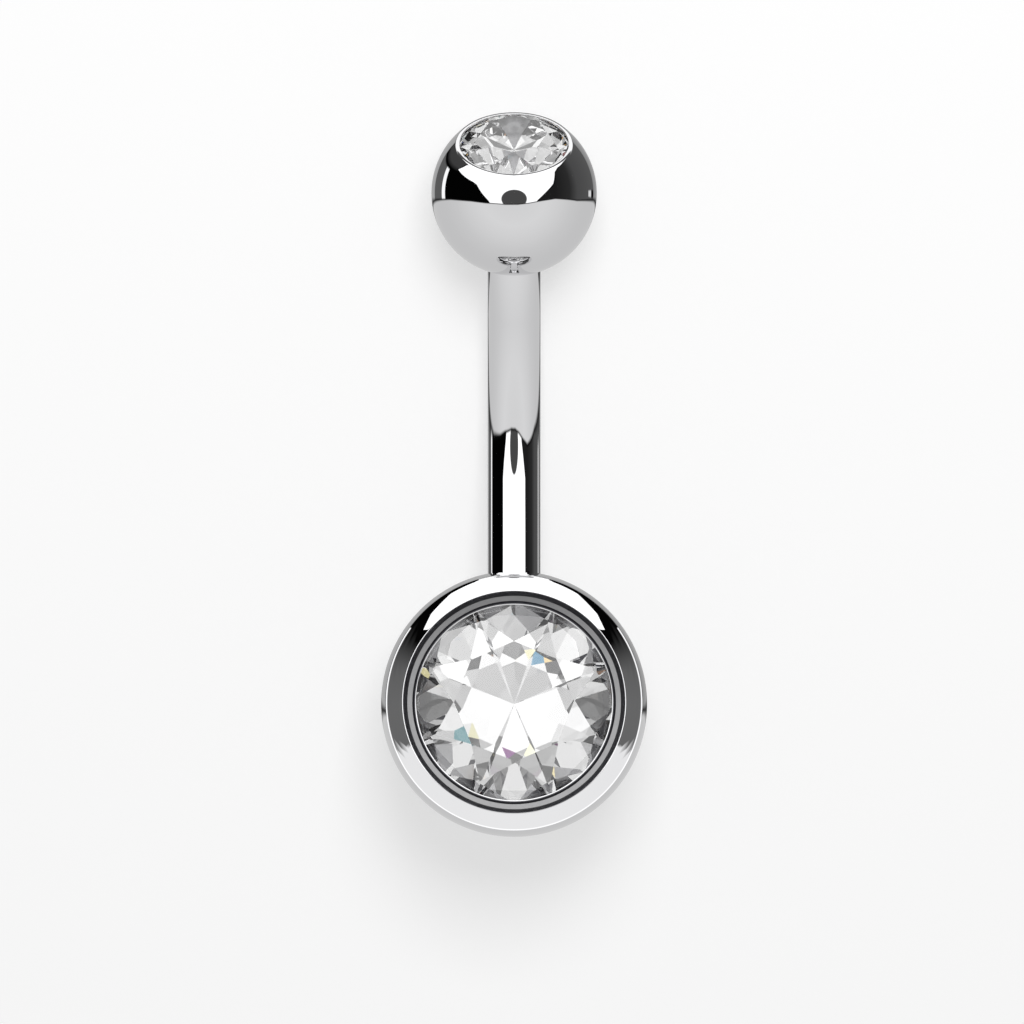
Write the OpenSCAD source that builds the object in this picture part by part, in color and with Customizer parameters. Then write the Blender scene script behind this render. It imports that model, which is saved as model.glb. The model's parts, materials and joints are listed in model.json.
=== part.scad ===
// Navel ring: a bent bar with a round stone setting fixed to its lower end,
// and a ball with a second stone that screws into its upper end.
// It is drawn in millimetres, lying on the backs of its two balls, stones up.

/* [Bar] */
// Diameter of the bar, 14 gauge
bar_d = 1.6; // [1.2:0.1:2.4]
// Radius of the bend, at the bar's centre line
bend_r = 8.5; // [6:0.5:20]
// Slope of each end of the bar against its middle, in degrees
end_slope = 18.5; // [10:0.5:28]
// Straight stretch above the bend, at the threaded end
top_straight = 1.9; // [1.5:0.1:5]
// Straight stretch below the bend, down to the fixed setting's wall
low_straight = 2.9; // [1:0.1:5]

/* [Screw] */
// Wall of the bar around its bore
tube_wall = 0.18; // [0.15:0.01:0.3]
// Radial gap between the stud's crests and the bore
screw_gap = 0.02; // [0.01:0.01:0.05]
// Length of the stud, from the ball's seat to its tip
stud_len = 2.2; // [1.2:0.1:3]
// Distance from one thread ridge to the next
pitch = 0.25; // [0.2:0.05:0.5]
// Height of a thread ridge
ridge_h = 0.09; // [0.05:0.01:0.12]
// Room left in the bore below the stud's tip
bore_end = 0.1; // [0.05:0.05:0.5]
// Width of the bevel at the bore's mouth
mouth_bevel = 0.06; // [0.02:0.01:0.1]
// Gap between the ball's seat and the bar's end
seat_gap = 0.02; // [0.01:0.01:0.1]

/* [Top ball] */
// Diameter of the screw ball
top_ball_d = 5; // [4.5:0.5:8]
// Diameter of the flat on the ball around the stud
seat_d = 2; // [1.8:0.1:3]
// Diameter of the top stone
top_stone_d = 3.36; // [2.4:0.1:3.8]
// Width of the rim around the top stone
top_rim_w = 0.1; // [0.06:0.01:0.3]
// How far the top rim reaches over the stone
top_rim_over = 0.03; // [0.02:0.01:0.08]
// Thickness of the top rim over the stone
top_rim_t = 0.06; // [0.04:0.01:0.15]
// Gap between the top stone and its seat
top_stone_gap = 0.02; // [0.01:0.01:0.05]
// Turn of the top stone's facets about its axis, in degrees
top_turn = 0; // [0:1:45]

/* [Lower setting] */
// Diameter of the lower stone
low_stone_d = 6.1; // [4:0.1:9]
// Gap between the lower stone and its seat
low_stone_gap = 0.03; // [0.01:0.01:0.05]
// How far the inner lip reaches over the stone
lip_over = 0.08; // [0.03:0.01:0.15]
// Width of the inner lip
lip_w = 0.09; // [0.06:0.01:0.2]
// Thickness of the inner lip over the stone
lip_t = 0.07; // [0.04:0.01:0.15]
// Height of the inner lip above the groove around it
lip_h = 0.05; // [0.02:0.01:0.1]
// Width of the ledge around the lip
ledge_w = 0.18; // [0.1:0.01:0.5]
// Rise of the ledge from the groove to the wall
ledge_rise = 0.03; // [0:0.01:0.1]
// Width of the sloping wall outside the ledge, seen from the front
wall_w = 0.12; // [0.05:0.01:0.3]
// Depth of the ledge below the bevelled front
wall_depth = 0.39; // [0.2:0.01:0.8]
// Width of the bevelled front, seen from the front
bevel_w = 0.47; // [0.3:0.01:1]
// Slope of the bevel at its inner edge, in degrees
bevel_in = 18; // [5:1:28]
// Slope of the bevel at its outer edge, in degrees
bevel_out = 35; // [30:1:50]
// How far the ball's side stands out beyond the bevel's outer edge
side_out = 0.17; // [0.1:0.01:0.4]

/* [Stones] */
// Table diameter as a share of the stone's
table_share = 0.6; // [0.53:0.01:0.7]
// Crown angle, in degrees
crown_angle = 34.5; // [30:0.5:38]
// Pavilion angle, in degrees
pavilion_angle = 43.5; // [38:0.5:45]
// Girdle thickness as a share of the stone's diameter
girdle_share = 0.02; // [0.01:0.005:0.04]
// How far the star facets reach from the table to the girdle, as a share
star_share = 0.5; // [0.4:0.05:0.6]
// How far the lower half facets stop short of the culet, as a share
half_share = 0.45; // [0.15:0.01:0.6]

/* [Output] */
// The piece to draw

/* [Hidden] */
$fn = 64;
eps = 0.01;
hair = 0.001;
joint = 0.3;
root_in = 0.2;
bar_in = 0.1;
seam = 90;

bar_r = bar_d / 2;
bore_r = bar_r - tube_wall;
crest_r = bore_r - screw_gap;
root_r = crest_r - ridge_h;
bore_depth = stud_len + bore_end;
tip_r = root_r * 1.15;

// Heights along a stone's axis, from the centre of its ball.
top_r = top_ball_d / 2;
seat_z = -sqrt(pow(top_r, 2) - pow(seat_d / 2, 2));
top_stone_r = top_stone_d / 2;
top_lip_r = top_stone_r - top_rim_over;
top_rim_r = top_lip_r + top_rim_w;
top_cut_z = sqrt(pow(top_r, 2) - pow(top_rim_r, 2));
top_under_z = top_cut_z - top_rim_t;
top_girdle_z = girdle_below(top_under_z, top_rim_over, top_stone_gap) - girdle(top_stone_d);
top_table_z = top_girdle_z + girdle(top_stone_d)
    + top_stone_r * (1 - table_share) * tan(crown_angle);

low_stone_r = low_stone_d / 2;
lip_r = low_stone_r - lip_over;
groove_r = lip_r + lip_w;
ledge_r = groove_r + ledge_w;
open_r = ledge_r + wall_w;
edge_r = open_r + bevel_w;
low_r = edge_r + side_out;
edge_z = sqrt(pow(low_r, 2) - pow(edge_r, 2));
bevel_r = bevel_w / (sin(bevel_out) - sin(bevel_in));
bevel_c = [edge_r - bevel_r * sin(bevel_out), edge_z - bevel_r * cos(bevel_out)];
open_z = bevel_c[1] + bevel_r * cos(bevel_in);
ledge_z = open_z - wall_depth;
groove_z = ledge_z - ledge_rise;
crest_z = groove_z + lip_h;
under_z = crest_z - lip_t;
low_girdle_z = girdle_below(under_z, lip_over, low_stone_gap) - girdle(low_stone_d);

// The ring's own frame: Y from the lower ball to the top one, Z towards the stones.
bend_y = bend_r * sin(end_slope);
bend_c = bend_r * cos(end_slope);
low_wall = sqrt(pow(low_r, 2) - pow(bar_r, 2));
top_reach = top_straight + seat_gap - seat_z;
low_reach = low_straight + low_wall;
top_y = bend_y + top_reach * cos(end_slope);
top_z = top_reach * sin(end_slope);
low_y = -bend_y - low_reach * cos(end_slope);
low_z = low_reach * sin(end_slope);

// Laid on the floor on both balls, with the box's middle over the origin.
centres = norm([top_y - low_y, top_z - low_z]);
lie = asin((top_r - low_r) / centres) - atan2(top_z - low_z, top_y - low_y);
top_lean = end_slope + lie;
lie_top_y = top_y * cos(lie) - top_z * sin(lie);
lie_low_y = low_y * cos(lie) - low_z * sin(lie);
lie_low_z = low_y * sin(lie) + low_z * cos(lie);
top_far = top_r * cos(top_lean) > top_cut_z ? reach(top_cut_z, top_rim_r) : top_r;
far_y = lie_top_y + max(top_far, reach(top_table_z, top_stone_r * table_share));
near_y = lie_low_y - low_r;

// How far a point of the top ball reaches past its centre along the floor.
function reach(z, r) = z * cos(top_lean) + r * sin(top_lean);
function girdle(d) = d * girdle_share;
// Height of the girdle's upper edge under a rim that leaves the gap over the crown.
function girdle_below(under, over, gap) =
    under - over * tan(crown_angle) - gap / cos(crown_angle);

module lying() {
    translate([0, -(far_y + near_y) / 2, low_r - lie_low_z]) rotate([lie, 0, 0]) children();
}

// The top ball's centre, with +Z along the bar's upper end and through the top stone.
module at_top() {
    translate([0, top_y, top_z]) rotate([end_slope - 90, 0, 0]) children();
}

// The lower ball's centre, with +Z through the lower stone, square to the bar's lower end.
module at_low() {
    translate([0, low_y, low_z]) rotate([-end_slope, 0, 0]) children();
}

// A round brilliant stone with its girdle's lower edge at z = 0.
module brilliant(d, turn) {
    r = d / 2;
    table_r = r * table_share;
    g = girdle(d);
    star_x = table_r + (r - table_r) * star_share;
    half_x = r * half_share;
    crown_z = function(x) g + (r - x) * tan(crown_angle);
    pavilion_z = function(x) -(r - x) * tan(pavilion_angle);
    mid = cos(22.5);
    ring = function(x, z, from, count) [for (i = [0:count - 1])
        let (a = turn + from + i * 360 / count) [x * cos(a), x * sin(a), z]];
    points = concat(
        ring(table_r, crown_z(table_r), 0, 8),
        ring(star_x / mid, crown_z(star_x), 22.5, 8),
        ring(r, g, 0, 16),
        ring(r, 0, 0, 16),
        ring(half_x / mid, pavilion_z(half_x), 22.5, 8),
        [[0, 0, pavilion_z(0)]]);
    table = 0; star = 8; upper = 16; lower = 32; half = 48; culet = 56;
    faces = concat(
        [[for (i = [7:-1:0]) table + i]],
        [for (i = [0:7]) [table + i, table + (i + 1) % 8, star + i]],
        [for (i = [0:7]) [table + i, star + i, upper + 2 * i, star + (i + 7) % 8]],
        [for (i = [0:7]) [star + i, upper + 2 * i + 1, upper + 2 * i]],
        [for (i = [0:7]) [star + i, upper + (2 * i + 2) % 16, upper + 2 * i + 1]],
        [for (i = [0:15]) [upper + i, upper + (i + 1) % 16, lower + (i + 1) % 16, lower + i]],
        [for (i = [0:7]) [lower + 2 * i, lower + 2 * i + 1, half + i]],
        [for (i = [0:7]) [lower + 2 * i + 1, lower + (2 * i + 2) % 16, half + i]],
        [for (i = [0:7]) [lower + 2 * i, half + i, culet, half + (i + 7) % 8]]);
    polyhedron(points, faces);
}

// How far the corners of the lower half facets stand out from the pavilion's cone.
function corner_out(stone_r) =
    stone_r * half_share * (1 / cos(22.5) - 1) * sin(pavilion_angle);

// The hollow for a stone as half a section: a cone under the pavilion, then the wall.
function seat_hollow(stone_r, gap, girdle_z) =
    let (off = (gap + corner_out(stone_r)) / cos(pavilion_angle)) [
    [0, girdle_z - stone_r * tan(pavilion_angle) - off],
    [stone_r + gap, girdle_z + gap * tan(pavilion_angle) - off]];

module low_section() {
    difference() {
        intersection() {
            circle(r = low_r);
            union() {
                translate([0, -low_r]) square([low_r, low_r + edge_z / 2]);
                intersection() {
                    translate(bevel_c) circle(r = bevel_r);
                    square([low_r * 2, low_r * 2]);
                }
            }
        }
        polygon(concat(seat_hollow(low_stone_r, low_stone_gap, low_girdle_z), [
            [low_stone_r + low_stone_gap, under_z - (lip_over + low_stone_gap) * tan(crown_angle)],
            [lip_r, under_z],
            [lip_r, crest_z - lip_t / 4],
            [lip_r + lip_w / 4, crest_z],
            [lip_r + lip_w / 2, crest_z],
            [groove_r, groove_z],
            [ledge_r, ledge_z],
            [ledge_r + 3 * wall_w, ledge_z + 3 * wall_depth],
            [ledge_r + 3 * wall_w, low_r * 2],
            [0, low_r * 2]]));
    }
}

module top_section() {
    difference() {
        intersection() {
            circle(r = top_r);
            translate([0, seat_z]) square([top_r, top_cut_z - seat_z]);
        }
        polygon(concat(seat_hollow(top_stone_r, top_stone_gap, top_girdle_z), [
            [top_stone_r + top_stone_gap,
                top_under_z - (top_rim_over + top_stone_gap) * tan(crown_angle)],
            [top_lip_r, top_under_z],
            [top_lip_r, top_r * 2],
            [0, top_r * 2]]));
    }
}

module stud() {
    room = stud_len - tip_r * 0.9 - pitch / 2;
    ridges = floor(room / pitch);
    start = seat_z - pitch / 2;
    tip_z = seat_z - stud_len + tip_r;
    rotate_extrude() polygon(concat(
        [[0, seat_z + root_in], [root_r, seat_z + root_in]],
        [for (i = [0:ridges - 1], p = [[root_r, 0], [crest_r, 0.35], [crest_r, 0.5], [root_r, 0.85]])
            [p[0], start - (i + p[1]) * pitch]],
        [[root_r, tip_z - tip_r / 4], [0, tip_z - tip_r / 4]]));
    intersection() {
        translate([0, 0, tip_z]) sphere(r = tip_r);
        translate([0, 0, tip_z - tip_r * 1.1]) cylinder(r = tip_r * 1.1, h = tip_r);
    }
}

// Two straight stretches and the bend between them. The stretches stand a hair apart,
// and a core runs across each joint, so the union never has to match two tangent faces.
module bar() {
    core_r = bar_r - tube_wall / 4;
    low_end = low_reach - low_stone_r - low_stone_gap - bar_in;
    translate([0, 0, bend_c]) rotate([90, 0, 90]) rotate([0, 0, -90 - end_slope])
        rotate_extrude(angle = 2 * end_slope) translate([bend_r, 0]) circle(r = bar_r);
    translate([0, bend_y, 0]) rotate([end_slope - 90, 0, 0]) {
        translate([0, 0, hair]) cylinder(r = bar_r, h = top_straight - hair);
        translate([0, 0, -joint]) cylinder(r = core_r, h = joint * 2);
    }
    translate([0, -bend_y, 0]) rotate([90 - end_slope, 0, 0]) {
        translate([0, 0, hair]) cylinder(r = bar_r, h = low_end - hair);
        translate([0, 0, -joint]) cylinder(r = core_r, h = joint * 2);
    }
}

module bar_and_setting() {
    color("lightsteelblue") lying() difference() {
        union() {
            bar();
            at_low() rotate([0, 0, seam]) rotate_extrude() low_section();
        }
        at_top() translate([0, 0, seat_z - seat_gap - bore_depth]) {
            cylinder(r = bore_r, h = bore_depth + eps);
            translate([0, 0, bore_depth - mouth_bevel])
                cylinder(r1 = bore_r, r2 = bore_r + mouth_bevel * 1.5, h = mouth_bevel * 1.5);
        }
    }
}

module lower_stone() {
    color("white") lying() at_low() translate([0, 0, low_girdle_z]) brilliant(low_stone_d, 0);
}

module top_ball() {
    color("lightsteelblue") lying() at_top() {
        rotate([0, 0, seam]) rotate_extrude() top_section();
        stud();
    }
}

module top_stone() {
    color("white") lying() at_top() translate([0, 0, top_girdle_z]) brilliant(top_stone_d, top_turn);
}

bar_and_setting();
lower_stone();
top_ball();
top_stone();
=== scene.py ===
# A polished navel ring with two clear round stones, lying on a pale floor.
import json
from math import asin, atan2, ceil, cos, degrees, floor, pi, radians, sin, sqrt, tan

import bmesh
import bpy
from mathutils import Matrix, Vector


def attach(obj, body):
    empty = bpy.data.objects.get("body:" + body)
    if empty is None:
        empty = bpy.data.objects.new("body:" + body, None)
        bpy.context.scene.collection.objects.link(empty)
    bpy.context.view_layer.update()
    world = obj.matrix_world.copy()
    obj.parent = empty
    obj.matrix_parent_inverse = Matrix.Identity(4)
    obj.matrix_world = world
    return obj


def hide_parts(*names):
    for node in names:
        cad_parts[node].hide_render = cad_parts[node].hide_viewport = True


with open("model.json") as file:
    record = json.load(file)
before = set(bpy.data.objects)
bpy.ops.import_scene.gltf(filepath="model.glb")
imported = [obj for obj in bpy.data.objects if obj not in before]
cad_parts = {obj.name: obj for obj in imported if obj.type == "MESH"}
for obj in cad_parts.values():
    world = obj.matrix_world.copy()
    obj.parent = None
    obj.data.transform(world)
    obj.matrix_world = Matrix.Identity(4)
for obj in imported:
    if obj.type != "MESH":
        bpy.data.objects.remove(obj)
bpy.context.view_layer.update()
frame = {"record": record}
print("frame loaded")

mm = 0.001
toolEdge = radians(32)  # faces that meet at more than this stay a crisp edge
weld = 1e-5  # vertices nearer than this are one

# Sizes in millimetres, angles in degrees. Most are the construction's, and the lower setting's
# widths and the straight stretch beside it are fitted to the picture, by up to 0.07 mm.
bar = {
    "diameter": 1.6,
    "bendRadius": 8.5,
    "endSlope": 18.5,
    "topStraight": 1.9,
    "lowStraight": 2.83,
    "wall": 0.18,  # round the bore
    "boreDepth": 2.3,
    "mouthBevel": 0.06,
    "rimBevel": 0.03,
    "rimShoulder": 0.3,  # share of the rim's bevel that is cut steeper
    "rootShort": 0.3,  # the bar's root inside the ball ends this far outside the stone
    "sides": 128,
    "bendSteps": 48,
}
screw = {
    "pitch": 0.25,
    "gap": 0.02,  # between the crests and the bore
    "ridge": 0.09,
    "boreShare": 0.6,  # the bore's ridge against the stud's
    "root": 0.2,  # flat root and sloping flank, as shares of half a pitch
    "flank": 0.45,
    "length": 2.2,
    "neck": 0.22,  # plain stretch against the seat
    "neckSlope": 0.03,
    "neckClear": 0.01,
    "noseShare": 1.15,  # radius of the rounded end against the root's
    "noseSteps": 8,
    "rowsPerPitch": 12,
    "seatGap": 0.02,
}
topBall = {
    "diameter": 5.0,
    "seat": 2.0,
    "rimWidth": 0.1,
    "rimOver": 0.03,
    "rimThickness": 0.06,
    "rimFall": 0.03,  # outwards, so that it catches the light
    "seatBelow": 0.3,  # the stone's seat ends above this share of the radius below the centre
    "seatFinish": 1,  # its place on the piece, after the mirror polish
    "sides": 192,
    "arcSteps": 96,
    "edge": 0.015,
}
setting = {
    "lipOver": 0.08,
    "lipWidth": 0.12,
    "lipThickness": 0.07,
    "lipHeight": 0.05,
    "ledgeWidth": 0.15,
    "ledgeRise": 0.03,
    "wallWidth": 0.12,
    "wallDepth": 0.39,
    "bevelWidth": 0.53,
    "bevelIn": 18,
    "bevelOut": 35,
    "sideOut": 0.15,
    "sides": 256,
    "arcSteps": 80,
    "bevelSteps": 12,
    "edge": 0.05,  # rounding of the bevel's outer edge
    "innerEdge": 0.015,
    "drilledShadeFrom": 1.45,  # the seat is smoother inside this radius, and has no painted shade there
    "insideShare": 0.9,  # nearer to the ball's centre than this share of its radius is inside it
    "satinShade": 1,  # the finishes' places on the piece, after the mirror polish; the turned and drilled ones carry painted shade
    "drilledShade": 2,
    "seat": 3,
}
brilliant = {
    "mains": 8,
    "tableShare": 0.6,
    "crown": 34.5,
    "pavilion": 43.5,
    "girdleShare": 0.02,
    "starShare": 0.5,
    "halfShare": 0.45,
    "unevenness": 0.7,  # degrees
    "unevenSteps": (12.9898, 78.233),  # the facets lean in no order by these
    "sides": 96,
    "blankDepth": 2.4,  # of the stone's radius
    "blankMiddle": -0.2,
    "seatSteps": 8,
}
topStone = {"diameter": 3.36, "gap": 0.02}
lowStone = {"diameter": 6.1, "gap": 0.03}
sideTurn = radians(180 / brilliant["mains"])  # from a main facet to the corner beside it


def girdleUnder(under, over, gap):
    # height of the girdle's upper edge below a lip that leaves the gap over the crown
    return under - over * tan(radians(brilliant["crown"])) - gap / cos(radians(brilliant["crown"]))


def barRadius():
    return bar["diameter"] / 2


def boreRadius():
    return barRadius() - bar["wall"]


def topShape():
    # heights along the top stone's axis, from the ball's centre
    radius = topBall["diameter"] / 2
    lip = topStone["diameter"] / 2 - topBall["rimOver"]
    rim = lip + topBall["rimWidth"]
    cut = sqrt(radius**2 - rim**2)
    under = cut - topBall["rimThickness"]
    girdle = girdleUnder(under, topBall["rimOver"], topStone["gap"])
    girdle -= topStone["diameter"] * brilliant["girdleShare"]
    seat = -sqrt(radius**2 - (topBall["seat"] / 2) ** 2)
    return {
        "radius": radius, "lip": lip, "rim": rim, "cut": cut,
        "under": under, "girdle": girdle, "seat": seat,
    }


def lowShape():
    # radii and heights of the lower setting, from its ball's centre along the stone's axis
    lip = lowStone["diameter"] / 2 - setting["lipOver"]
    groove = lip + setting["lipWidth"]
    ledge = groove + setting["ledgeWidth"]
    opening = ledge + setting["wallWidth"]
    edge = opening + setting["bevelWidth"]
    radius = edge + setting["sideOut"]
    edgeHeight = sqrt(radius**2 - edge**2)
    inner, outer = radians(setting["bevelIn"]), radians(setting["bevelOut"])
    bevelRadius = setting["bevelWidth"] / (sin(outer) - sin(inner))
    centre = (edge - bevelRadius * sin(outer), edgeHeight - bevelRadius * cos(outer))
    openHeight = centre[1] + bevelRadius * cos(inner)
    ledgeHeight = openHeight - setting["wallDepth"]
    grooveHeight = ledgeHeight - setting["ledgeRise"]
    crest = grooveHeight + setting["lipHeight"]
    under = crest - setting["lipThickness"]
    girdle = girdleUnder(under, setting["lipOver"], lowStone["gap"])
    girdle -= lowStone["diameter"] * brilliant["girdleShare"]
    return {
        "radius": radius, "lip": lip, "groove": groove, "ledge": ledge, "opening": opening,
        "edge": edge, "edgeHeight": edgeHeight, "bevelRadius": bevelRadius, "bevelCentre": centre,
        "openHeight": openHeight, "ledgeHeight": ledgeHeight, "grooveHeight": grooveHeight,
        "crest": crest, "under": under, "girdle": girdle,
    }


top, low = topShape(), lowShape()


def ringPlace():
    # the bend's middle is the mount, and the joint's axis gives the slope that the ring lies at
    mount = frame["record"]["mounts"][0]
    axis = frame["record"]["behaviour"]["joints"][0]["axis"]
    lie = atan2(axis[2], axis[1]) - radians(bar["endSlope"])
    sag = bar["bendRadius"] * (1 - cos(radians(bar["endSlope"])))
    middle = Vector(mount["pos_m"]) / mm
    return Matrix.Translation(middle) @ Matrix.Rotation(lie, 4, "X") @ Matrix.Translation((0, 0, sag))


def topPlace():
    # the top ball's centre, with +Z through the top stone
    slope = radians(bar["endSlope"])
    reach = bar["topStraight"] + screw["seatGap"] - top["seat"]
    at = (0, bar["bendRadius"] * sin(slope) + reach * cos(slope), reach * sin(slope))
    return ringPlace() @ Matrix.Translation(at) @ Matrix.Rotation(slope - pi / 2, 4, "X")


def lowPlace():
    # the lower ball's centre, with +Z through the lower stone
    slope = radians(bar["endSlope"])
    reach = bar["lowStraight"] + sqrt(low["radius"] ** 2 - barRadius() ** 2)
    at = (0, -bar["bendRadius"] * sin(slope) - reach * cos(slope), reach * sin(slope))
    return ringPlace() @ Matrix.Translation(at) @ Matrix.Rotation(-slope, 4, "X")


def arc(centre, radius, start, end, steps):
    # points on an arc, with angles from the stone's axis
    turn = (end - start) / steps
    return [
        (centre[0] + radius * sin(start + turn * i), centre[1] + radius * cos(start + turn * i))
        for i in range(steps + 1)
    ]


def spunSolid(outline, sides):
    # a closed solid from half a section that starts and ends on the axis
    bm = bmesh.new()
    verts = [bm.verts.new((r, 0, z)) for r, z in outline]
    edges = [bm.edges.new(pair) for pair in zip(verts, verts[1:])]
    bmesh.ops.spin(
        bm, geom=verts + edges, cent=(0, 0, 0), axis=(0, 0, 1), angle=2 * pi, steps=sides, use_merge=True,
    )
    bmesh.ops.remove_doubles(bm, verts=bm.verts, dist=weld)
    bmesh.ops.recalc_face_normals(bm, faces=bm.faces)
    return bm


def roundRings(bm, rings, offset, segments=4):
    # rounds the circular edges that lie at the given (radius, height) places
    near = 1e-4
    edges = []
    for edge in bm.edges:
        ends = [(sqrt(v.co.x**2 + v.co.y**2), v.co.z) for v in edge.verts]
        if any(all(abs(r - ring[0]) + abs(z - ring[1]) < near for r, z in ends) for ring in rings):
            edges.append(edge)
    bmesh.ops.bevel(
        bm, geom=edges, offset=offset, offset_type="OFFSET", affect="EDGES", segments=segments,
        profile=0.5, clamp_overlap=True, material=-1,
    )


def pulledRing(bm, edges, matrix):
    # extrudes a ring of edges and moves the new one
    made = bmesh.ops.extrude_edge_only(bm, edges=edges)["geom"]
    verts = [g for g in made if isinstance(g, bmesh.types.BMVert)]
    bmesh.ops.transform(bm, matrix=matrix, verts=verts)
    inside = set(verts)
    return [g for g in made if isinstance(g, bmesh.types.BMEdge) and inside.issuperset(g.verts)]


def ringTo(bm, edges, radius, height):
    # extrudes a ring round the Z axis to another radius and height
    vert = edges[0].verts[0].co
    scale = radius / sqrt(vert.x**2 + vert.y**2)
    matrix = Matrix.Translation((0, 0, height)) @ Matrix.Diagonal((scale, scale, 0, 1))
    return pulledRing(bm, edges, matrix)


def cutThread(verts, start, end, depth):
    # winds a ridge of the given depth round the verts between two heights
    fade = screw["pitch"]
    for v in verts:
        if not start <= v.co.z <= end:
            continue
        turns = v.co.z / screw["pitch"] - atan2(v.co.y, v.co.x) / (2 * pi)
        wave = 1 - 2 * abs(turns - floor(turns) - 0.5)
        ridge = min(1, max(0, (wave - screw["root"]) / screw["flank"]))
        ends = min(1, (v.co.z - start) / fade, (end - v.co.z) / fade)
        radius = sqrt(v.co.x**2 + v.co.y**2)
        grow = 1 + depth * ridge * ends / radius
        v.co.x *= grow
        v.co.y *= grow


def finished(bm, name, place, materials, smooth=True):
    # closes, places and links a mesh that was modelled in millimetres
    bmesh.ops.remove_doubles(bm, verts=bm.verts, dist=weld)
    bmesh.ops.recalc_face_normals(bm, faces=bm.faces)
    bmesh.ops.transform(bm, matrix=Matrix.Scale(mm, 4) @ place, verts=bm.verts)
    mesh = bpy.data.meshes.new(name)
    bm.to_mesh(mesh)
    bm.free()
    mesh.polygons.foreach_set("use_smooth", [smooth] * len(mesh.polygons))
    if smooth:
        mesh.set_sharp_from_angle(angle=toolEdge)
    for material in materials:
        mesh.materials.append(material)
    piece = bpy.data.objects.new(name, mesh)
    bpy.context.scene.collection.objects.link(piece)
    return piece


def seatOutline(stone, girdle, under, over):
    # from the tip of the cone under the stone, up its wall, to below the lip
    r, gap = stone["diameter"] / 2, stone["gap"]
    slope = radians(brilliant["pavilion"])
    # the lower half facets' corners stand out from the cone of the mains
    corner = r * brilliant["halfShare"] * (1 / cos(sideTurn) - 1) * sin(slope)
    off = (gap + corner) / cos(slope)
    steps = brilliant["seatSteps"]
    radii = [(r + gap) * i / steps for i in range(steps + 1)]
    cone = [(radius, girdle - (r - radius) * tan(slope) - off) for radius in radii]
    return cone + [(r + gap, under - (over + gap) * tan(radians(brilliant["crown"])))]


def makeSetting():
    # from the ball's back, over the bevel and down the dish, to the tip of the stone's seat
    back = arc(
        (0, 0), low["radius"], pi, atan2(low["edge"], low["edgeHeight"]), setting["arcSteps"],
    )
    back[0] = (0, -low["radius"])
    bevel = arc(
        low["bevelCentre"], low["bevelRadius"], radians(setting["bevelOut"]),
        radians(setting["bevelIn"]), setting["bevelSteps"],
    )
    lip, width = low["lip"], setting["lipWidth"]
    dish = [
        (low["ledge"], low["ledgeHeight"]),
        (low["groove"], low["grooveHeight"]),
        (lip + width / 2, low["crest"]),
        (lip + width / 4, low["crest"]),
        (lip, low["crest"] - setting["lipThickness"] / 4),
        (lip, low["under"]),
    ]
    seat = seatOutline(lowStone, low["girdle"], low["under"], setting["lipOver"])
    bm = spunSolid(back + bevel[1:] + dish + seat[::-1], setting["sides"])
    roundRings(bm, [(low["edge"], low["edgeHeight"])], setting["edge"])
    roundRings(bm, [(low["opening"], low["openHeight"])], setting["innerEdge"], 3)
    inside = setting["insideShare"] * low["radius"]
    wallEnd = low["opening"] + setting["innerEdge"]
    # The recess wall, the lip's inner side with the groove, and the seat's outer part get the drilled
    # finish, and the ledge the turned one: both rougher, and darker with painted shade.
    for face in bm.faces:
        middle = face.calc_center_median()
        away = sqrt(middle.x**2 + middle.y**2)
        if low["ledge"] < away < wallEnd and middle.z > low["ledgeHeight"]:
            face.material_index = setting["drilledShade"]
        elif low["groove"] < away <= low["ledge"] and middle.z > low["grooveHeight"]:
            face.material_index = setting["satinShade"]
        elif lip + width / 4 < away < low["groove"] and middle.z > low["under"]:
            face.material_index = setting["drilledShade"]
        elif middle.z < low["under"] and middle.length < inside:
            face.material_index = setting["drilledShade" if away > setting["drilledShadeFrom"] else "seat"]
    return bm


def makeBar():
    # from the bottom of the bore, out of its mouth and down the outside, then round the bend
    radius, bore = barRadius(), boreRadius()
    end = top["seat"] - screw["seatGap"]
    bottom = end - bar["boreDepth"]
    bm = bmesh.new()
    bmesh.ops.create_circle(
        bm, cap_ends=True, radius=bore, segments=bar["sides"],
        matrix=Matrix.Translation((0, 0, bottom)),
    )
    edges = list(bm.edges)
    threaded = end - bar["mouthBevel"]
    rows = ceil((threaded - bottom) / screw["pitch"] * screw["rowsPerPitch"])
    for i in range(rows):
        edges = ringTo(bm, edges, bore, bottom + (threaded - bottom) * (i + 1) / rows)
    cutThread(bm.verts, bottom + screw["pitch"], threaded, screw["ridge"] * screw["boreShare"])
    rim = bar["rimBevel"]
    shoulder = rim * bar["rimShoulder"]
    edges = ringTo(bm, edges, bore + bar["mouthBevel"], end)
    edges = ringTo(bm, edges, radius - rim, end)
    edges = ringTo(bm, edges, radius - shoulder, end - shoulder)
    edges = ringTo(bm, edges, radius, end - rim)
    bendStart = end - bar["topStraight"]
    edges = ringTo(bm, edges, radius, bendStart)
    turn = 2 * radians(bar["endSlope"])
    made = bmesh.ops.spin(
        bm, geom=edges, cent=(0, -bar["bendRadius"], bendStart), axis=(1, 0, 0), angle=-turn,
        steps=bar["bendSteps"],
    )["geom_last"]
    edges = [g for g in made if isinstance(g, bmesh.types.BMEdge)]
    toCentre = bar["lowStraight"] + sqrt(low["radius"] ** 2 - radius**2)
    inside = toCentre - lowStone["diameter"] / 2 - bar["rootShort"]
    down = Vector((0, -sin(turn), -cos(turn))) * inside
    edges = pulledRing(bm, edges, Matrix.Translation(down))
    bmesh.ops.contextual_create(bm, geom=edges)
    return bm


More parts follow.
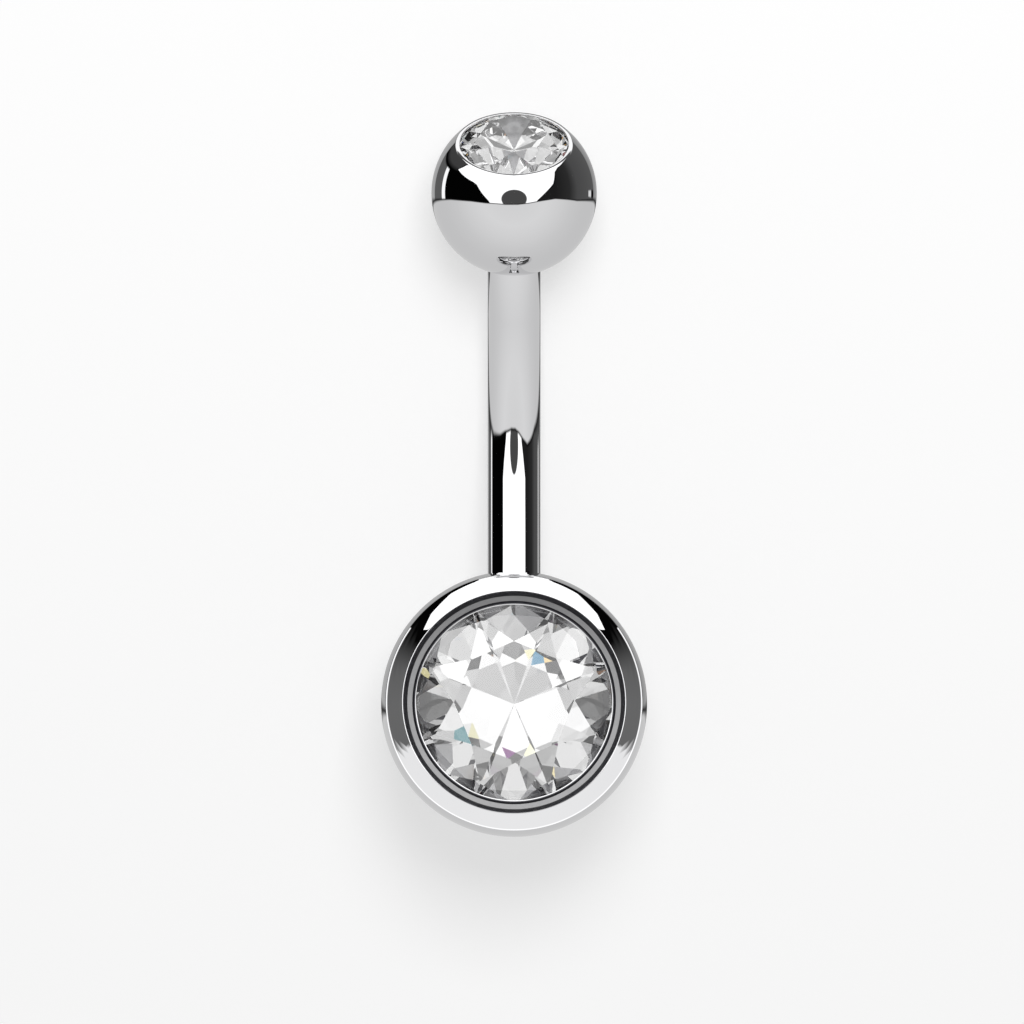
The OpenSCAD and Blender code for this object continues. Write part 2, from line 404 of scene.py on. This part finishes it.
def makeBarAndSetting(materials):
    body = finished(makeSetting(), "setting_and_bar", lowPlace(), materials)
    rod = finished(makeBar(), "bar", topPlace(), materials)
    union = body.modifiers.new("union", "BOOLEAN")
    union.operation = "UNION"
    union.solver = "EXACT"
    union.object = rod
    bpy.context.view_layer.update()
    evaluated = body.evaluated_get(bpy.context.evaluated_depsgraph_get())
    fused = bpy.data.meshes.new_from_object(evaluated)
    body.modifiers.clear()
    body.data = fused
    bpy.data.objects.remove(rod)
    bm = bmesh.new()
    bm.from_mesh(fused)
    bmesh.ops.remove_doubles(bm, verts=bm.verts, dist=1e-9)  # in metres by now
    bm.to_mesh(fused)
    bm.free()
    fused.set_sharp_from_angle(angle=toolEdge)
    print("bar and setting", len(fused.polygons), "faces")
    return body


def makeTopBall(materials):
    # from the tip of the stone's seat, over the rim and down the ball, then along the stud to its nose
    stud = boreRadius() - screw["gap"]
    root = stud - screw["ridge"]
    tip = root * screw["noseShare"]
    seat = top["seat"]
    stop = seat - screw["length"] + tip
    neckEnd = seat - screw["neck"]
    rows = ceil((neckEnd - stop) / screw["pitch"] * screw["rowsPerPitch"])
    hollow = seatOutline(topStone, top["girdle"], top["under"], topBall["rimOver"])
    rim = [(top["lip"], top["under"]), (top["lip"], top["cut"])]
    ball = arc(
        (0, 0), top["radius"], atan2(top["rim"], top["cut"] - topBall["rimFall"]),
        atan2(topBall["seat"] / 2, seat), topBall["arcSteps"],
    )
    neck = [(stud, seat), (stud, neckEnd + screw["neckSlope"]), (root, neckEnd)]
    shank = [(root, neckEnd + (stop - neckEnd) * i / rows) for i in range(1, rows + 1)]
    nose = arc((0, stop), tip, asin(root / tip), 0, screw["noseSteps"])
    nose = [(r, 2 * stop - z) for r, z in nose][1:]
    bm = spunSolid(hollow + rim + ball + neck + shank + nose, topBall["sides"])
    cutThread(bm.verts, stop, neckEnd - screw["neckClear"], screw["ridge"])
    corners = [(top["lip"], top["cut"]), ball[0], (topBall["seat"] / 2, seat)]
    roundRings(bm, corners, topBall["edge"], 3)
    seatRadius = topStone["diameter"] / 2 + topStone["gap"]
    seatEnd = -topBall["seatBelow"] * top["radius"]
    for face in bm.faces:
        middle = face.calc_center_median()
        if seatEnd < middle.z < top["under"] and middle.x**2 + middle.y**2 < seatRadius**2:
            face.material_index = topBall["seatFinish"]
    piece = finished(bm, "screw_ball_and_stud", topPlace(), materials)
    print("top ball", len(piece.data.polygons), "faces")
    return piece


def facetPlanes(diameter):
    # (point, outward normal) of every facet of a round brilliant whose girdle's lower edge is at 0
    r = diameter / 2
    g = diameter * brilliant["girdleShare"]
    crown, pavilion = tan(radians(brilliant["crown"])), tan(radians(brilliant["pavilion"]))
    table = r * brilliant["tableShare"]
    starFlat = table + (r - table) * brilliant["starShare"]
    halfFlat = r * brilliant["halfShare"]
    starOut, halfOut = starFlat / cos(sideTurn), halfFlat / cos(sideTurn)
    tableHeight = g + (r - table) * crown
    starHeight = g + (r - starFlat) * crown
    halfHeight = -(r - halfFlat) * pavilion

    def at(radius, height, angle):
        return Vector((radius * cos(angle), radius * sin(angle), height))

    def through(a, b, c):
        normal = (b - a).cross(c - a).normalized()
        return a, normal if normal.dot(a - Vector((0, 0, g / 2))) > 0 else -normal

    planes = [(Vector((0, 0, tableHeight)), Vector((0, 0, 1)))]
    for i in range(brilliant["mains"]):
        # a main facet's middle, the corners on both its sides, and the next main's middle
        main = 2 * sideTurn * i
        before, side, after = main - sideTurn, main + sideTurn, main + 2 * sideTurn
        star, half = at(starOut, starHeight, side), at(halfOut, halfHeight, side)
        corner = at(table, tableHeight, main)
        planes.append(through(corner, star, at(starOut, starHeight, before)))
        planes.append(through(corner, at(table, tableHeight, after), star))
        planes.append(through(star, at(r, g, main), at(r, g, side)))
        planes.append(through(star, at(r, g, side), at(r, g, after)))
        planes.append(through(Vector((0, 0, -r * pavilion)), half, at(halfOut, halfHeight, before)))
        planes.append(through(half, at(r, 0, main), at(r, 0, side)))
        planes.append(through(half, at(r, 0, side), at(r, 0, after)))
    return planes


def makeStone(stone, girdle, name, place, material):
    # a round blank, cut once for each facet
    r = stone["diameter"] / 2
    leanStep, turnStep = brilliant["unevenSteps"]
    bm = bmesh.new()
    bmesh.ops.create_cone(
        bm, cap_ends=True, segments=brilliant["sides"], radius1=r, radius2=r,
        depth=brilliant["blankDepth"] * r,
        matrix=Matrix.Translation((0, 0, brilliant["blankMiddle"] * r)),
    )
    for i, (point, normal) in enumerate(facetPlanes(stone["diameter"])):
        if i:
            # no two facets below the table are ground quite alike
            lean = Matrix.Rotation(radians(brilliant["unevenness"] * sin(i * leanStep + r)), 3, "X")
            turn = Matrix.Rotation(radians(brilliant["unevenness"] * sin(i * turnStep + r)), 3, "Y")
            normal = lean @ turn @ normal
        cut = bmesh.ops.bisect_plane(
            bm, geom=list(bm.verts) + list(bm.edges) + list(bm.faces), dist=1e-4,
            plane_co=point, plane_no=normal, clear_outer=True,
        )["geom_cut"]
        rim = [g for g in cut if isinstance(g, bmesh.types.BMEdge)]
        if rim:
            bmesh.ops.contextual_create(bm, geom=rim)
    bmesh.ops.dissolve_degenerate(bm, edges=bm.edges, dist=1e-4)
    atGirdle = place @ Matrix.Translation((0, 0, girdle))
    piece = finished(bm, name, atGirdle, (material,), smooth=False)
    print(name, len(piece.data.polygons), "facets and girdle faces")
    return piece


def newMaterial(name):
    material = bpy.data.materials.new(name)
    material.use_nodes = True
    tree = material.node_tree
    tree.nodes.clear()
    return material, tree


def makePolishGroup():
    # faint polishing lines and smears, as a roughness and a normal
    group = bpy.data.node_groups.new("polish", "ShaderNodeTree")
    face = group.interface
    for name, kind, way, value in (
        ("Grain", "NodeSocketFloat", "INPUT", 900.0),
        ("Least", "NodeSocketFloat", "INPUT", 0.01),
        ("Most", "NodeSocketFloat", "INPUT", 0.05),
        ("Relief", "NodeSocketFloat", "INPUT", 0.02),
        ("Roughness", "NodeSocketFloat", "OUTPUT", None),
        ("Normal", "NodeSocketVector", "OUTPUT", None),
    ):
        socket = face.new_socket(name, in_out=way, socket_type=kind)
        if value is not None:
            socket.default_value = value
    nodes, links = group.nodes, group.links
    inner, outer = nodes.new("NodeGroupInput"), nodes.new("NodeGroupOutput")
    place = nodes.new("ShaderNodeTexCoord")
    smear = nodes.new("ShaderNodeTexNoise")
    links.new(place.outputs["Object"], smear.inputs["Vector"])
    links.new(inner.outputs["Grain"], smear.inputs["Scale"])
    smear.inputs["Detail"].default_value = 4
    smear.inputs["Roughness"].default_value = 0.6
    spread = nodes.new("ShaderNodeMapRange")
    links.new(smear.outputs["Fac"], spread.inputs["Value"])
    links.new(inner.outputs["Least"], spread.inputs["To Min"])
    links.new(inner.outputs["Most"], spread.inputs["To Max"])
    bump = nodes.new("ShaderNodeBump")
    bump.inputs["Distance"].default_value = 1e-5
    links.new(inner.outputs["Relief"], bump.inputs["Strength"])
    links.new(smear.outputs["Fac"], bump.inputs["Height"])
    links.new(spread.outputs["Result"], outer.inputs["Roughness"])
    links.new(bump.outputs["Normal"], outer.inputs["Normal"])
    return group


mirrorLook = {"colour": (0.80, 0.80, 0.81, 1), "grain": 900.0, "least": 0.008, "most": 0.04, "relief": 0.02}
# the turned and drilled finishes are rougher, and their colours are darkened as painted shade for the
# recess
satinShadeLook = {"colour": (0.32, 0.32, 0.325, 1), "grain": 2500.0, "least": 0.3, "most": 0.5, "relief": 0.3}
drilledShadeLook = {"colour": (0.09, 0.09, 0.1, 1), "grain": 2500.0, "least": 0.4, "most": 0.6, "relief": 0.3}
seatLook = {"colour": (0.56, 0.56, 0.58, 1), "grain": 2500.0, "least": 0.25, "most": 0.4, "relief": 0.1}


def titaniumMaterial(name, polish, look):
    material, tree = newMaterial(name)
    nodes, links = tree.nodes, tree.links
    shader, out = nodes.new("ShaderNodeBsdfPrincipled"), nodes.new("ShaderNodeOutputMaterial")
    shader.inputs["Base Color"].default_value = look["colour"]
    shader.inputs["Metallic"].default_value = 1
    finish = nodes.new("ShaderNodeGroup")
    finish.node_tree = polish
    finish.inputs["Grain"].default_value = look["grain"]
    finish.inputs["Least"].default_value = look["least"]
    finish.inputs["Most"].default_value = look["most"]
    finish.inputs["Relief"].default_value = look["relief"]
    links.new(finish.outputs["Roughness"], shader.inputs["Roughness"])
    links.new(finish.outputs["Normal"], shader.inputs["Normal"])
    links.new(shader.outputs["BSDF"], out.inputs["Surface"])
    return material


def clearStone():
    look = {"colour": (1.0, 1.0, 1.0, 1), "bending": 2.16}
    material, tree = newMaterial("clear_stone")
    nodes, links = tree.nodes, tree.links
    shader, out = nodes.new("ShaderNodeBsdfPrincipled"), nodes.new("ShaderNodeOutputMaterial")
    shader.inputs["Base Color"].default_value = look["colour"]
    shader.inputs["IOR"].default_value = look["bending"]
    shader.inputs["Transmission Weight"].default_value = 1
    shader.inputs["Roughness"].default_value = 0
    links.new(shader.outputs["BSDF"], out.inputs["Surface"])
    return material


# The picture's axes: it looks down on the ring from well above the floor, along its length.
view = {
    "tilt": 72.066,  # degrees above the floor
    "distance": 700.0,
    "width": 31.05,  # millimetres of the ring's plane across the frame
    "up": -2.1,  # where the frame's middle lies along the picture's up direction
    "depth": 3.0,
    "right": -0.064,
}
toEye = Vector((0, cos(radians(view["tilt"])), sin(radians(view["tilt"]))))
upWay = Vector((0, sin(radians(view["tilt"])), -cos(radians(view["tilt"]))))
rightWay = Vector((1, 0, 0))


class Sums:
    # short arithmetic on a node tree's sockets
    def __init__(self, tree):
        self.tree = tree

    def do(self, operation, *values):
        node = self.tree.nodes.new("ShaderNodeMath")
        node.operation = operation
        for socket, value in zip(node.inputs, values):
            if isinstance(value, (int, float)):
                socket.default_value = value
            else:
                self.tree.links.new(value, socket)
        return node.outputs[0]

    def dot(self, vector, way):
        node = self.tree.nodes.new("ShaderNodeVectorMath")
        node.operation = "DOT_PRODUCT"
        self.tree.links.new(vector, node.inputs[0])
        node.inputs[1].default_value = way
        return node.outputs["Value"]

    def both(self, *masks):
        mask = masks[0]
        for other in masks[1:]:
            mask = self.do("MULTIPLY", mask, other)
        return mask

    def opposite(self, mask):
        return self.do("SUBTRACT", 1, mask)

    def step(self, value, edge, soft):
        # 0 below the edge and 1 above it
        node = self.tree.nodes.new("ShaderNodeMapRange")
        node.interpolation_type = "SMOOTHSTEP"
        self.tree.links.new(value, node.inputs["Value"])
        if isinstance(edge, (int, float)):
            node.inputs["From Min"].default_value = edge - soft
            node.inputs["From Max"].default_value = edge + soft
        else:
            self.tree.links.new(self.do("SUBTRACT", edge, soft), node.inputs["From Min"])
            self.tree.links.new(self.do("ADD", edge, soft), node.inputs["From Max"])
        return node.outputs["Result"]

    def below(self, value, edge, soft):
        return self.opposite(self.step(value, edge, soft))

    def between(self, value, ends, soft):
        return self.both(self.step(value, ends[0], soft), self.below(value, ends[1], soft))

    def curve(self, value, points):
        # straight lines between the given (input, output) pairs
        ramp = self.tree.nodes.new("ShaderNodeValToRGB")
        start, end = points[0][0], points[-1][0]
        least, most = min(p[1] for p in points), max(p[1] for p in points)
        steps = ramp.color_ramp.elements
        while len(steps) < len(points):
            steps.new(0.5)
        for step, (at, height) in zip(steps, points):
            step.position = (at - start) / (end - start)
            step.color = [(height - least) / (most - least)] * 3 + [1]
        along = self.do("DIVIDE", self.do("SUBTRACT", value, start), end - start)
        self.tree.links.new(along, ramp.inputs["Fac"])
        return self.do("ADD", self.do("MULTIPLY", ramp.outputs["Color"], most - least), least)

    def over(self, under, value, mask):
        # lays a value over another where the mask is 1
        node = self.tree.nodes.new("ShaderNodeMix")
        node.data_type = "FLOAT"
        for socket, given in ((node.inputs[0], mask), (node.inputs[2], under), (node.inputs[3], value)):
            if isinstance(given, (int, float)):
                socket.default_value = given
            else:
                self.tree.links.new(given, socket)
        return node.outputs[0]


# The light tent round the ring, by direction, as (where, how bright) or (where, where) pairs. A turn
# goes round the ring to the right, 0 towards the camera, and a rise goes up the picture, both in
# degrees. A front goes from -1 behind the ring to 1 at the camera.
tent = {
    "soft": 0.8,
    "behind": (
        (-180, 0.48), (-150, 0.42), (-135, 0.2), (-118, 0.1), (118, 0.12), (150, 0.3), (180, 0.48),
    ),
    "leftSide": (-147, 0),
    "left": ((-20, 0.001), (21, 0.001), (25, 0.055), (60, 0.07), (90, 0.07)),
    "rightSide": (0, 147),
    "right": ((0, 0.015), (60, 0.015), (85, 0.03), (100, 0.08), (145, 0.11), (180, 0.11)),
    "leftLine": {
        "below": 19, "shade": 0.12, "shadeTurn": (-147, -114), "level": 1.2, "turn": (-122, -113.5),
    },
    "rightLine": {
        "rise": (-1.5, 2), "riseSoft": 0.7, "shade": 0.0, "shadeTurn": (137, 146), "level": 0.8,
        "turn": (128, 137),
    },
    "lineSoft": 0.5,
    "overhead": {
        "from": 40, "soft": 8, "behind": -0.2, "behindSoft": 0.05, "shade": 0.1,
        "strip": (-0.53, -0.33), "stripSoft": 0.01, "level": 1.2,
    },
    # the white panel in front, its sides by rise and its far edge by front
    "panel": 1.5,
    "panelThrough": 1.05,  # as the stones show it
    "panelLeft": (
        (-20, -32), (-11, -36), (0, -46), (10, -54), (13, -60), (23, -94), (27, -86), (33, -77),
        (44, -82), (60, -95), (75, -140), (88, -180),
    ),
    "panelRight": (
        (-20, 30), (-10, 33), (0, 44), (11, 57), (25, 64), (36, 84), (44, 85), (60, 95), (75, 140),
        (88, 180),
    ),
    "panelFar": -0.237,
    "outline": 2.5,  # the dark line round it, and at its far edge
    "outlineFar": 0.0425,
    "panelFarSoft": 0.01,
    "ovalSoft": 0.08,
    "lens": {"level": 0.075, "at": -9, "wide": 18, "tall": 13},
    # what the stones alone show of the front: a grey middle, grey above it, dark flags beside it
    "middle": {"level": 0.5, "at": -5.5, "wide": 30, "tall": 12.5},
    "above": {"level": 0.62, "from": 24, "to": 60},
    "flag": {"level": 0.17, "from": 29, "to": 100},
    "fringe": (0.5, 0, -0.5),  # red, green and blue edges part when seen through a stone
    # the table that the ring stands on in the picture, its edge by turn and its brightness by front
    "floorEdge": (
        (-180, -1), (-160, -2), (-100, -5.9), (-64, -10.2), (-42, -13.8), (-12, -17), (5, -17),
        (21, -15), (40, -11), (60, -7.5), (100, -7), (149, -2.5), (180, -1),
    ),
    "floor": ((-1, 0.63), (-0.4, 0.66), (0, 0.7), (0.33, 0.76), (0.68, 0.82), (0.92, 0.79), (1, 0.79)),
    "floorLine": {"wide": 1.2, "level": 0.005},
    "forDiffuse": 0.5,
    "forCamera": 0.84,
}


def tentSides(sums, turn, rise, front):
    # what is behind the ring, and the dark sides with a bright line down each
    def within(ends, soft):
        return sums.between(turn, ends, soft)

    def add(level, *masks):
        return sums.over(value, level, sums.both(*masks))

    soft, lineSoft = tent["soft"], tent["lineSoft"]
    value = sums.curve(turn, tent["behind"])
    value = add(sums.curve(rise, tent["left"]), within(tent["leftSide"], soft))
    value = add(sums.curve(turn, tent["right"]), within(tent["rightSide"], soft))
    line = tent["leftLine"]
    band = sums.below(rise, line["below"], soft)
    value = add(line["shade"], band, within(line["shadeTurn"], soft))
    value = add(line["level"], band, within(line["turn"], lineSoft))
    line = tent["rightLine"]
    band = sums.between(rise, line["rise"], line["riseSoft"])
    value = add(line["shade"], band, within(line["shadeTurn"], lineSoft))
    value = add(line["level"], band, within(line["turn"], lineSoft))
    # over the top: dark, with a white strip beyond the panel
    over = tent["overhead"]
    band = sums.step(rise, over["from"], over["soft"])
    value = add(over["shade"], band, sums.below(front, over["behind"], over["behindSoft"]))
    return add(over["level"], band, sums.between(front, over["strip"], over["stripSoft"]))


def ovalMask(sums, turn, rise, shape):
    across = sums.do("DIVIDE", turn, shape["wide"])
    along = sums.do("DIVIDE", sums.do("SUBTRACT", rise, shape["at"]), shape["tall"])
    off = sums.do("ADD", sums.do("POWER", across, 2), sums.do("POWER", along, 2))
    return sums.below(off, 1, tent["ovalSoft"])


def makeStudio():
    world = bpy.data.worlds.new("studio")
    bpy.context.scene.world = world
    world.use_nodes = True
    world.cycles.sampling_method = "NONE"
    tree = world.node_tree
    tree.nodes.clear()
    sums = Sums(tree)
    way = tree.nodes.new("ShaderNodeTexCoord").outputs["Generated"]
    right, up, front = sums.dot(way, rightWay), sums.dot(way, upWay), sums.dot(way, toEye)
    rise = sums.do("MULTIPLY", sums.do("ARCSINE", up), degrees(1))
    turn = sums.do("MULTIPLY", sums.do("ARCTAN2", right, front), degrees(1))
    aside = sums.do("ABSOLUTE", turn)
    path = tree.nodes.new("ShaderNodeLightPath")
    through = path.outputs["Is Transmission Ray"]
    direct = sums.opposite(through)
    soft, above, flag = tent["soft"], tent["above"], tent["flag"]

    sides = tentSides(sums, turn, rise, front)
    panel = sums.over(tent["panel"], tent["panelThrough"], through)
    panelLeft, panelRight = sums.curve(rise, tent["panelLeft"]), sums.curve(rise, tent["panelRight"])
    table, tableEdge = sums.curve(front, tent["floor"]), sums.curve(turn, tent["floorEdge"])
    lens = sums.both(direct, ovalMask(sums, turn, rise, tent["lens"]))
    middle = sums.both(through, ovalMask(sums, turn, rise, tent["middle"]))
    upper, lower = sums.step(rise, above["from"], soft), sums.below(rise, above["from"], soft)
    overPanel = sums.both(through, upper, sums.below(aside, above["to"], soft))
    colours = []
    for shift in tent["fringe"]:
        value = sides
        fringe = sums.do("MULTIPLY", through, shift)
        for shade, grow, far in ((0.0, tent["outline"], tent["outlineFar"]), (panel, 0, 0)):
            wide = sums.do("ADD", fringe, grow)
            mask = sums.both(
                sums.step(turn, sums.do("SUBTRACT", panelLeft, wide), soft),
                sums.below(turn, sums.do("ADD", panelRight, wide), soft),
                sums.step(front, tent["panelFar"] - far, tent["panelFarSoft"]),
            )
            value = sums.over(value, shade, mask)
        value = sums.over(value, tent["lens"]["level"], lens)
        value = sums.over(value, tent["middle"]["level"], middle)
        value = sums.over(value, above["level"], overPanel)
        beside = sums.both(
            through, lower, sums.step(aside, sums.do("ADD", fringe, flag["from"]), soft),
            sums.below(aside, flag["to"], soft),
        )
        value = sums.over(value, flag["level"], beside)
        edge = sums.do("ADD", tableEdge, fringe)
        lineEdge = sums.do("ADD", edge, tent["floorLine"]["wide"])
        value = sums.over(value, tent["floorLine"]["level"], sums.below(rise, lineEdge, soft))
        value = sums.over(value, table, sums.below(rise, edge, soft))
        value = sums.over(value, tent["forDiffuse"], path.outputs["Is Diffuse Ray"])
        colours.append(sums.over(value, tent["forCamera"], path.outputs["Is Camera Ray"]))
    colour = tree.nodes.new("ShaderNodeCombineColor")
    for channel, value in zip(colour.inputs, colours):
        tree.links.new(value, channel)
    light, out = tree.nodes.new("ShaderNodeBackground"), tree.nodes.new("ShaderNodeOutputWorld")
    tree.links.new(colour.outputs["Color"], light.inputs["Color"])
    tree.links.new(light.outputs["Background"], out.inputs["Surface"])


def onLines(points, at):
    # straight lines between (input, output) pairs
    for (a, x), (b, y) in zip(points, points[1:]):
        if at <= b:
            return x + (y - x) * max(0, at - a) / (b - a)
    return points[-1][1]


def paintedReflectionMaterial(reach):
    # glows on its inner side by the mesh's own brightness, as a painted reflection, and is clear from
    # farther than the reach
    material, tree = newMaterial("painted_reflection_sheet")
    level = tree.nodes.new("ShaderNodeAttribute")
    level.attribute_name = "level"
    glow, clear = tree.nodes.new("ShaderNodeEmission"), tree.nodes.new("ShaderNodeBsdfTransparent")
    mix, out = tree.nodes.new("ShaderNodeMixShader"), tree.nodes.new("ShaderNodeOutputMaterial")
    tree.links.new(level.outputs["Fac"], glow.inputs["Strength"])
    sums = Sums(tree)
    length = tree.nodes.new("ShaderNodeLightPath").outputs["Ray Length"]
    far = sums.do("GREATER_THAN", length, reach * mm)
    back = tree.nodes.new("ShaderNodeNewGeometry").outputs["Backfacing"]
    tree.links.new(sums.do("MAXIMUM", back, far), mix.inputs["Fac"])
    tree.links.new(glow.outputs["Emission"], mix.inputs[1])
    tree.links.new(clear.outputs["BSDF"], mix.inputs[2])
    tree.links.new(mix.outputs["Shader"], out.inputs["Surface"])
    return material


def makePaintedReflectionSheet():
    # The lower setting faces darker sides than the top ball does. This glowing sheet round it is a
    # painted reflection: it gives its bevel their mirror image, and shows to mirrored rays alone.
    painted_reflection_sheet = {
        "radius": 4.2,
        "reach": 9,
        "columns": 720,
        # height, and half of the gap that is open at the top
        "rows": (
            (0.9, 16), (1.16, 16), (1.24, 18), (1.3, 30), (1.55, 43), (1.92, 51), (2.3, 49), (2.6, 47),
        ),
        # degrees from the top, and brightness of the painted reflection
        "shade": (
            (0, 0.0), (58, 0.002), (74, 0.14), (90, 0.165), (111.6, 0.16), (112.6, 0.98), (180, 1.0),
        ),
        "line": {"level": 1.3, "below": 1.18, "from": 54},
    }
    line = painted_reflection_sheet["line"]
    bm = bmesh.new()
    layer = bm.verts.layers.float.new("level")
    rings = []
    for height, gap in painted_reflection_sheet["rows"]:
        ring = []
        for i in range(painted_reflection_sheet["columns"] + 1):
            clock = gap + (360 - 2 * gap) * i / painted_reflection_sheet["columns"]
            across, along = sin(radians(clock)), cos(radians(clock))
            vert = bm.verts.new((painted_reflection_sheet["radius"] * across, painted_reflection_sheet["radius"] * along, height))
            fromTop = min(clock, 360 - clock)
            # a bright line of painted reflection low down, elsewhere the painted brightness by the angle
            # from the top
            lit = height < line["below"] and fromTop > line["from"]
            vert[layer] = line["level"] if lit else onLines(painted_reflection_sheet["shade"], fromTop)
            ring.append(vert)
        rings.append(ring)
    for lower, upper in zip(rings, rings[1:]):
        for i in range(painted_reflection_sheet["columns"]):
            bm.faces.new((lower[i], lower[i + 1], upper[i + 1], upper[i]))
    bmesh.ops.transform(bm, matrix=Matrix.Scale(mm, 4) @ lowPlace(), verts=bm.verts)
    mesh = bpy.data.meshes.new("painted_reflection_sheet")
    bm.to_mesh(mesh)
    bm.free()
    mesh.materials.append(paintedReflectionMaterial(painted_reflection_sheet["reach"]))
    sheet = bpy.data.objects.new("painted_reflection_sheet", mesh)
    bpy.context.scene.collection.objects.link(sheet)
    sheet.visible_camera = False
    sheet.visible_diffuse = False
    sheet.visible_transmission = False
    sheet.visible_volume_scatter = False
    sheet.visible_shadow = False


def makeFloor():
    # half of its light is its own, so that shadows stay soft
    look = {"half": 2.0, "colour": (0.95, 0.95, 0.95, 1), "glow": 1.0, "share": 0.5}
    material, tree = newMaterial("pale_floor")
    shader, out = tree.nodes.new("ShaderNodeBsdfDiffuse"), tree.nodes.new("ShaderNodeOutputMaterial")
    shader.inputs["Color"].default_value = look["colour"]
    glow, mix = tree.nodes.new("ShaderNodeEmission"), tree.nodes.new("ShaderNodeMixShader")
    glow.inputs["Strength"].default_value = look["glow"]
    mix.inputs["Fac"].default_value = look["share"]
    tree.links.new(shader.outputs["BSDF"], mix.inputs[1])
    tree.links.new(glow.outputs["Emission"], mix.inputs[2])
    tree.links.new(mix.outputs["Shader"], out.inputs["Surface"])
    bm = bmesh.new()
    bmesh.ops.create_grid(bm, x_segments=1, y_segments=1, size=look["half"])
    mesh = bpy.data.meshes.new("floor")
    bm.to_mesh(mesh)
    bm.free()
    mesh.materials.append(material)
    ground = bpy.data.objects.new("floor", mesh)
    bpy.context.scene.collection.objects.link(ground)
    ground.visible_glossy = False
    ground.visible_transmission = False


def makeLamp():
    # beyond the screw ball, so that the shadows fall towards the near side of the setting
    lamp = {"power": 0.15, "size": 60, "at": (10, 90, 130)}
    data = bpy.data.lights.new("soft_lamp", "AREA")
    data.energy = lamp["power"]
    data.size = lamp["size"] * mm
    light = bpy.data.objects.new("soft_lamp", data)
    light.location = Vector(lamp["at"]) * mm
    light.rotation_euler = (-light.location).to_track_quat("-Z", "Y").to_euler()
    light.visible_glossy = False
    light.visible_transmission = False
    light.visible_camera = False
    bpy.context.scene.collection.objects.link(light)


def makeCamera():
    data = bpy.data.cameras.new("camera")
    data.sensor_width = 36
    data.lens = data.sensor_width * view["distance"] / view["width"]
    data.clip_start = 0.01
    camera = bpy.data.objects.new("camera", data)
    target = (upWay * view["up"] + toEye * view["depth"] + rightWay * view["right"]) * mm
    spin = Matrix((rightWay, upWay, toEye)).transposed().to_4x4()
    camera.matrix_world = Matrix.Translation(target + toEye * view["distance"] * mm) @ spin
    bpy.context.scene.collection.objects.link(camera)
    bpy.context.scene.camera = camera


def setRender():
    scene = bpy.context.scene
    scene.view_settings.view_transform = "Standard"
    scene.cycles.max_bounces = 20
    scene.cycles.transmission_bounces = 18
    scene.cycles.glossy_bounces = 10
    scene.cycles.diffuse_bounces = 2


makeCamera()
makeStudio()
makePaintedReflectionSheet()
makeFloor()
makeLamp()
setRender()
print("studio ready")

polish = makePolishGroup()
mirrorMetal = titaniumMaterial("polished_titanium", polish, mirrorLook)
# the turned and drilled copies carry painted shade in their darker colours
satinShadeMetal = titaniumMaterial("turned_titanium_painted_shade", polish, satinShadeLook)
drilledShadeMetal = titaniumMaterial("drilled_titanium_painted_shade", polish, drilledShadeLook)
seatMetal = titaniumMaterial("seat_titanium", polish, seatLook)
gem = clearStone()

settingPiece = makeBarAndSetting((mirrorMetal, satinShadeMetal, drilledShadeMetal, seatMetal))
ballPiece = makeTopBall((mirrorMetal, seatMetal))
lowStonePiece = makeStone(lowStone, low["girdle"], "lower_stone_cut", lowPlace(), gem)
topStonePiece = makeStone(topStone, top["girdle"], "top_stone_cut", topPlace(), gem)

for piece, node, body, slot in (
    (settingPiece, "bar_and_setting", "ring", "polished_titanium"),
    (lowStonePiece, "lower_stone", "ring", "clear_stone"),
    (ballPiece, "top_ball", "screw_ball", "polished_titanium"),
    (topStonePiece, "top_stone", "screw_ball", "clear_stone"),
):
    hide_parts(node)
    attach(piece, body)
print("pieces placed")
